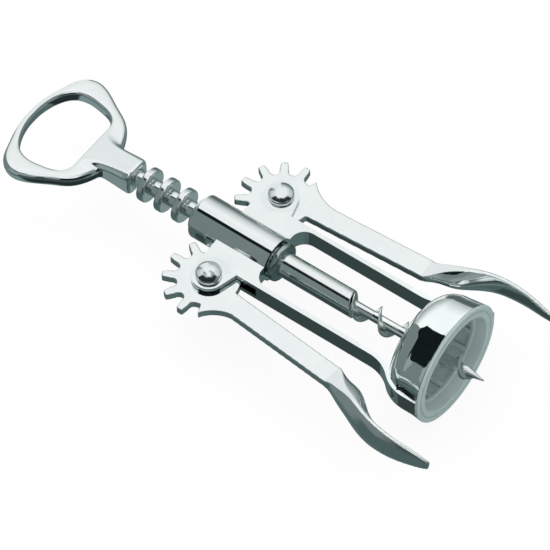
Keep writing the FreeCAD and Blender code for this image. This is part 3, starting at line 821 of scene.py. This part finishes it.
def card_group():
    """A soft-edged rectangle on the sky round the object, given by its middle and half sizes."""
    group = bpy.data.node_groups.new("studio_card", "ShaderNodeTree")
    group_sockets(group, {
        "Vector": ("Direction", "Middle", "Across", "Up"),
        "Float": ("Half width", "Half height", "Softness"),
    }, {"Float": ("Mask",)})
    entry = group.nodes.new("NodeGroupInput").outputs

    def dot(axis):
        return vector_maths(group, "DOT_PRODUCT", {0: entry["Direction"], 1: entry[axis]}, "Value")

    def inside(angle, half):
        size = maths(group, "ABSOLUTE", angle)
        low = maths(group, "SUBTRACT", half, entry["Softness"])
        high = maths(group, "ADD", half, entry["Softness"])
        return new_tree_node(group, "ShaderNodeMapRange", {
            "Value": size, "From Min": low, "From Max": high, "To Min": 1.0, "To Max": 0.0},
            interpolation_type="SMOOTHSTEP").outputs["Result"]

    sideways = maths(group, "ARCTAN2", dot("Across"), dot("Middle"))
    upwards = maths(group, "ARCSINE", dot("Up"))
    mask = maths(group, "MULTIPLY", inside(sideways, entry["Half width"]),
                 inside(upwards, entry["Half height"]))
    new_tree_node(group, "NodeGroupOutput", {"Mask": mask})
    return group


# Light and dark cards on the sky that the chrome reflects: compass direction, height, half width, half
# height and edge softness in degrees, and colour. Later ones lie in front of earlier ones. The window
# has no colour of its own: it brightens with height.
STUDIO_CARDS = [
    ("dim_side", 300.0, -5.0, 45.0, 30.0, 8.0, (0.065, 0.085, 0.083)),
    ("dim_low", 255.0, -42.0, 32.0, 24.0, 5.0, (0.085, 0.125, 0.125)),
    ("window", 120.0, 26.0, 42.0, 46.0, 7.0, None),
    ("tall_card", 144.0, 2.0, 17.0, 44.0, 2.5, (0.92, 0.93, 0.93)),
    ("top_card", 165.0, 74.0, 14.0, 9.0, 2.0, (1.0, 1.0, 1.0)),
    ("ceiling", 307.0, 80.0, 13.0, 16.0, 3.0, (1.0, 1.0, 1.0)),
    ("camera_side", 282.0, 42.0, 20.0, 16.0, 8.0, (0.3, 0.34, 0.335)),
    ("black_gap", 213.0, 63.8, 6.0, 5.5, 1.0, (0.006, 0.011, 0.011)),
]
# Panels that only reflections starting in a zone round one piece see. Each has the zone's middle and
# half sizes, the middle and reach of the sphere that the panel lies on, all in mm, tones by height, and
# its corners as compass direction and height in degrees.
BELL_ZONE = (-7.0, 0.0, 0.0), (20.0, 20.0, 20.0)
BELL_TOP = (-6.0, 0.0, 10.0)
BELL_AXIS = (-6.0, 0.0, 0.0)
# Middle of a rivet's dome, with Y to either side.
RIVET_X, RIVET_Y, RIVET_Z = -70.0, 16.45, 4.0
RIVET_HALF = (6.0, 6.0, 6.0)


def near(middle, half_sizes, reach=600.0):
    """The zone and the sphere of a panel that lies round the middle of its own zone."""
    return middle, half_sizes, middle, reach


LEG = near((-38.0, 0.0, 0.0), (46.0, 24.0, 8.0))
SHAFT = near((-42.0, 0.0, 0.0), (22.0, 8.0, 8.0))
NECK = near((-112.0, 0.0, 0.0), (10.0, 7.0, 7.0), 560.0)
RING = near((-133.0, 0.0, 0.0), (26.0, 36.0, 9.0))
RACK = near((-101.0, 0.0, 0.0), (17.0, 9.0, 9.0))
GRIP = near((-4.0, 26.0, 0.0), (28.0, 9.0, 8.0))
BLACK = [(0.0, (0.006, 0.011, 0.011))]
SIDE_GREY = [(0.0, (0.4, 0.45, 0.44)), (0.7, (0.85, 0.88, 0.87))]
LOW_CORNERS = [(195.0, -27.0), (268.0, -27.0), (278.0, -76.0), (185.0, -76.0)]
LOCAL_CARDS = [
    ("bell_flag", *BELL_ZONE, BELL_TOP, 560.0, BLACK, [
        (182.4, 37.3), (181.5, 50.0), (179.0, 56.0), (172.0, 59.5), (171.0, 66.0), (180.0, 69.0),
        (195.0, 69.0), (215.0, 65.0), (232.0, 57.0), (243.0, 47.0), (245.0, 40.0), (239.0, 35.0),
        (238.5, 27.0), (239.5, 20.0), (237.0, 19.0), (234.2, 24.2), (231.6, 30.2), (229.6, 34.0),
        (226.9, 37.8), (223.9, 41.4), (220.7, 44.3), (217.0, 47.0), (204.5, 49.3)]),
    ("bell_light", *BELL_ZONE, BELL_TOP, 600.0, [
        (-0.2, (0.3, 0.34, 0.33)), (0.1, (0.62, 0.66, 0.65)), (0.4, (1.1, 1.12, 1.12))], [
        (100.0, 10.0), (136.0, -14.0), (156.0, -16.0), (165.0, -5.0), (180.4, 39.0), (181.5, 52.0),
        (173.0, 61.0), (150.0, 61.0), (118.0, 77.0), (100.0, 72.0)]),
    ("bell_grey", *BELL_ZONE, BELL_TOP, 580.0, [(0.0, (0.32, 0.38, 0.37))], [
        (234.2, 31.6), (235.3, 27.4), (238.1, 18.2), (240.2, 9.4), (241.3, 2.7), (248.0, -8.4),
        (263.0, -9.0), (263.0, 38.0)]),
    ("bell_low", *BELL_ZONE, BELL_AXIS, 620.0, [(0.0, (0.04, 0.055, 0.053))], [
        (223.0, -66.0), (223.0, -18.0), (287.0, -18.0), (287.0, -66.0)]),
    ("leg_dark", *LEG, [(0.0, (0.04, 0.06, 0.058))], LOW_CORNERS),
    ("shaft_black", *SHAFT, BLACK, [
        (193.7, 51.7), (241.0, 77.7), (259.2, 57.6), (215.1, 42.8)]),
    ("neck_grey", *NECK, [(0.0, (0.21, 0.28, 0.28))], LOW_CORNERS),
    ("ring_low", *RING, [(0.0, (0.22, 0.30, 0.30))], LOW_CORNERS),
    ("ring_side", *RING, [(0.0, (0.28, 0.35, 0.345))], [
        (222.0, -5.0), (266.0, -5.0), (266.0, 48.0), (222.0, 48.0)]),
    ("ring_black", *RING, BLACK, [
        (290.0, 12.0), (352.0, 12.0), (352.0, 55.0), (290.0, 55.0)]),
    ("ring_black_low", *RING, [(0.0, (0.02, 0.03, 0.03))], [
        (275.0, -20.0), (10.0, -20.0), (20.0, -76.0), (283.0, -76.0)]),
    ("rack_face", *RACK, [(0.0, (0.24, 0.31, 0.3))], [
        (10.0, -32.0), (98.0, -32.0), (104.0, -76.0), (4.0, -76.0)]),
    ("grip_dark", *GRIP, [(0.0, (0.045, 0.065, 0.065))], LOW_CORNERS),
] + [
    (f"rivet_{part}_{side:+.0f}", *near((RIVET_X, side * RIVET_Y, RIVET_Z), RIVET_HALF, reach), tones,
     corners)
    for side in (-1.0, 1.0)
    for part, reach, tones, corners in (
        ("light", 700.0, [(0.0, (0.95, 0.97, 0.97))], [(step * 30.0, 50.0) for step in range(12)]),
        ("left", 500.0, BLACK, [(224.0, -12.0), (280.0, -12.0), (280.0, 56.0), (224.0, 50.0)]),
        ("middle", 500.0, BLACK, [(280.0, -12.0), (332.0, -12.0), (332.0, 60.0), (280.0, 60.0)]),
        ("right", 500.0, BLACK, [(332.0, -12.0), (28.0, -12.0), (28.0, 50.0), (332.0, 56.0)]),
        ("far_left", 700.0, SIDE_GREY, [(176.0, 0.0), (228.0, 0.0), (228.0, 52.0), (176.0, 52.0)]),
        ("far_right", 700.0, SIDE_GREY, [(24.0, 0.0), (78.0, 0.0), (78.0, 52.0), (24.0, 52.0)]))
]
# Colours by height, the sine of the rise, of the room all round and of the window.
SURROUND_TONES = [(-0.7, (0.1, 0.15, 0.15)), (-0.58, (0.19, 0.235, 0.23))]
WINDOW_TONES = [
    (-0.12, (0.10, 0.13, 0.128)), (0.0, (0.18, 0.22, 0.215)), (0.26, (0.44, 0.48, 0.475)),
    (0.5, (0.75, 0.785, 0.78)), (0.7, (0.92, 0.93, 0.925)), (0.84, (1.05, 1.05, 1.05)),
    (0.95, (1.0, 1.0, 1.0)),
]
# A panel with more corners than this is rounded, by this many passes that cut its corners off.
MOST_CORNERS, ROUNDING_PASSES = 12, 2


def direction_of(compass, rise):
    """A unit vector towards a compass direction and a height, in degrees."""
    turn, lift = math.radians(compass), math.radians(rise)
    return Vector((math.cos(turn) * math.cos(lift), math.sin(turn) * math.cos(lift), math.sin(lift)))


def height_tones(tree, height, tones):
    """Colours by height, from the lowest to the highest."""
    low, high = tones[0][0], tones[-1][0]
    place = new_tree_node(tree, "ShaderNodeMapRange", {
        "Value": height, "From Min": low, "From Max": high}).outputs["Result"]
    ramp = new_tree_node(tree, "ShaderNodeValToRGB", {"Fac": place})
    stops = ramp.color_ramp.elements
    while len(stops) < len(tones):
        stops.new(0.5)
    for stop, (level, colour) in zip(stops, tones):
        stop.position = (level - low) / (high - low)
        stop.color = colour + (1.0,)
    return ramp.outputs["Color"]


def rounded_corners(corners):
    """An outline with each corner cut off at a quarter of the sides that meet there."""
    return [tuple(here + (there - here) * share for here, there in zip(start, end))
            for start, end in zip(corners, corners[1:] + corners[:1]) for share in (0.25, 0.75)]


def local_card(name, zone_middle, zone_half, middle, reach, tones, corners):
    """A glowing or black panel that only reflections starting inside a small zone see."""
    if len(corners) > MOST_CORNERS:
        for _ in range(ROUNDING_PASSES):
            corners = rounded_corners(corners)
    places = [(Vector(middle) + direction_of(*corner) * reach) * MM for corner in corners]
    mesh = bpy.data.meshes.new(name)
    mesh.from_pydata(places, [], [tuple(range(len(places)))])
    face, tree = new_material(name)
    spot = new_tree_node(tree, "ShaderNodeNewGeometry").outputs
    path = new_tree_node(tree, "ShaderNodeLightPath").outputs
    back = vector_maths(tree, "SCALE", {0: spot["Incoming"], "Scale": path["Ray Length"]})
    start = vector_maths(tree, "ADD", {0: spot["Position"], 1: back})
    offset = vector_maths(tree, "SUBTRACT", {0: start, 1: Vector(zone_middle) * MM})
    share = vector_maths(tree, "DIVIDE", {0: offset, 1: Vector(zone_half) * MM})
    away = vector_maths(tree, "LENGTH", {0: share}, "Value")
    in_zone = maths(tree, "LESS_THAN", away, 1.0)
    if len(tones) > 1:
        level = new_tree_node(tree, "ShaderNodeSeparateXYZ", {"Vector": spot["Position"]}).outputs["Z"]
        height = maths(tree, "DIVIDE", maths(tree, "SUBTRACT", level, middle[2] * MM), reach * MM)
        colour = height_tones(tree, height, tones)
    else:
        colour = tones[0][1] + (1.0,)
    glow = new_tree_node(tree, "ShaderNodeEmission", {"Color": colour, "Strength": 1.0})
    clear = tree.nodes.new("ShaderNodeBsdfTransparent")
    show_mix(tree, in_zone, clear, glow)
    mesh.materials.append(face)
    piece = bpy.data.objects.new(name, mesh)
    bpy.context.scene.collection.objects.link(piece)
    for rays in ("camera", "diffuse", "shadow", "transmission"):
        setattr(piece, "visible_" + rays, False)
    return piece


def studio_world(scene):
    """A white sky that only the chrome sees as a room with a window, cards and dark sides."""
    world = bpy.data.worlds.new("studio")
    world.use_nodes = True
    tree = world.node_tree
    direction = new_tree_node(tree, "ShaderNodeTexCoord").outputs["Generated"]
    height = new_tree_node(tree, "ShaderNodeSeparateXYZ", {"Vector": direction}).outputs["Z"]
    group = card_group()
    colour = height_tones(tree, height, SURROUND_TONES)
    for name, compass, rise, half_width, half_height, softness, value in STUDIO_CARDS:
        turn = math.radians(compass)
        middle = direction_of(compass, rise)
        across = Vector((-math.sin(turn), math.cos(turn), 0.0))
        card = new_tree_node(tree, "ShaderNodeGroup", {
            "Direction": direction, "Middle": middle, "Across": across, "Up": middle.cross(across),
            "Half width": math.radians(half_width), "Half height": math.radians(half_height),
            "Softness": math.radians(softness)}, node_tree=group, label=name)
        face = value + (1.0,) if value else height_tones(tree, height, WINDOW_TONES)
        colour = mixed(tree, card.outputs["Mask"], colour, face)
    rays = new_tree_node(tree, "ShaderNodeLightPath")
    seen = mixed(tree, rays.outputs["Is Glossy Ray"], WHITE, colour)
    set_inputs(tree, tree.nodes["Background"], {"Color": seen, "Strength": 1.0})
    scene.world = world


def paper_material(studio):
    """Pale paper that is white to the camera and keeps the object's soft shadow."""
    paper, tree = new_material("studio_paper")
    shader = tree.nodes["Principled BSDF"]
    set_inputs(tree, shader, {"Base Color": tuple(studio.floor_colour) + (1.0,), "Roughness": 0.9})
    glow = new_tree_node(tree, "ShaderNodeEmission", {"Color": WHITE, "Strength": 1.0})
    rays = new_tree_node(tree, "ShaderNodeLightPath")
    share = maths(tree, "MULTIPLY", rays.outputs["Is Camera Ray"], 1.0 - studio.shadow)
    show_mix(tree, share, shader, glow)
    return paper


def paper_floor(scene, studio):
    """The square floor that the object lies on, unseen by the chrome."""
    half = studio.floor_size / 2.0
    level = cad_box[0][2]
    mesh = bpy.data.meshes.new("floor")
    mesh.from_pydata([(-half, -half, level), (half, -half, level), (half, half, level),
                      (-half, half, level)], [], [(0, 1, 2, 3)])
    floor = bpy.data.objects.new("floor", mesh)
    scene.collection.objects.link(floor)
    mesh.materials.append(paper_material(studio))
    floor.visible_glossy = False
    return floor


def soft_lamp(scene, studio):
    """A soft light above the object, unseen by the chrome."""
    data = bpy.data.lights.new("soft_top", "AREA")
    data.shape = "RECTANGLE"
    data.size, data.size_y = studio.lamp_size
    data.energy = studio.lamp_energy
    lamp = bpy.data.objects.new("soft_top", data)
    lamp.location = studio.lamp_place
    away = Vector(studio.lamp_place) - Vector(studio.aim)
    lamp.rotation_euler = away.to_track_quat("Z", "Y").to_euler()
    lamp.visible_glossy = False
    scene.collection.objects.link(lamp)


def aimed_camera(scene, studio):
    """A long lens that looks down on the object."""
    forward = Vector((math.cos(studio.turn) * math.cos(studio.tilt),
                      math.sin(studio.turn) * math.cos(studio.tilt), -math.sin(studio.tilt)))
    level_right = forward.cross(Vector((0.0, 0.0, 1.0))).normalized()
    right = Matrix.Rotation(studio.roll, 3, forward) @ level_right
    axes = Matrix((right, right.cross(forward), -forward)).transposed()
    data = bpy.data.cameras.new("view")
    data.sensor_width = studio.sensor
    data.lens = studio.lens
    data.clip_start = 10.0 * MM
    camera = bpy.data.objects.new("view", data)
    place = Vector(studio.aim) - forward * studio.distance
    camera.matrix_world = Matrix.Translation(place) @ axes.to_4x4()
    scene.collection.objects.link(camera)
    scene.camera = camera


class CORKSCREW_OT_stage(bpy.types.Operator):
    """Builds the floor, the light and the camera"""

    bl_idname = "corkscrew.stage"
    bl_label = "Stage"

    def execute(self, context):
        scene = context.scene
        studio = scene.corkscrew_studio
        scene.view_settings.view_transform = "Standard"
        studio_world(scene)
        floor = paper_floor(scene, studio)
        [local_card(*card) for card in LOCAL_CARDS]
        soft_lamp(scene, studio)
        aimed_camera(scene, studio)
        return {"FINISHED"}


# ---------------------------------------------------------------- panel and registration


class CORKSCREW_PT_panel(bpy.types.Panel):
    """Lists the pieces in the sidebar"""

    bl_idname = "CORKSCREW_PT_panel"
    bl_label = "Wing corkscrew"
    bl_space_type = "VIEW_3D"
    bl_region_type = "UI"
    bl_category = "Corkscrew"

    def draw(self, context):
        for operator in PIECES:
            self.layout.operator(operator.bl_idname)
        for name in SETTINGS:
            group = getattr(context.scene, name)
            box = self.layout.box()
            for key in group.__annotations__:
                box.prop(group, key)


PIECES = [
    CORKSCREW_OT_frame, CORKSCREW_OT_bell, CORKSCREW_OT_liner, CORKSCREW_OT_shaft, CORKSCREW_OT_worm,
    CORKSCREW_OT_handle, CORKSCREW_OT_levers, CORKSCREW_OT_rivets, CORKSCREW_OT_stage,
]
SETTINGS = {
    "corkscrew_chrome": ChromeSettings,
    "corkscrew_rack": RackSettings,
    "corkscrew_worm": WormSettings,
    "corkscrew_liner": LinerSettings,
    "corkscrew_studio": StudioSettings,
}


def register():
    for name, group in SETTINGS.items():
        bpy.utils.register_class(group)
        setattr(bpy.types.Scene, name, PointerProperty(type=group))
    for operator in PIECES:
        bpy.utils.register_class(operator)
    bpy.utils.register_class(CORKSCREW_PT_panel)


def unregister():
    bpy.utils.unregister_class(CORKSCREW_PT_panel)
    for operator in reversed(PIECES):
        bpy.utils.unregister_class(operator)
    for name, group in SETTINGS.items():
        delattr(bpy.types.Scene, name)
        bpy.utils.unregister_class(group)


def main():
    register()
    for operator in PIECES:
        family, name = operator.bl_idname.split(".")
        getattr(getattr(bpy.ops, family), name)()


if __name__ == "__main__":
    main()
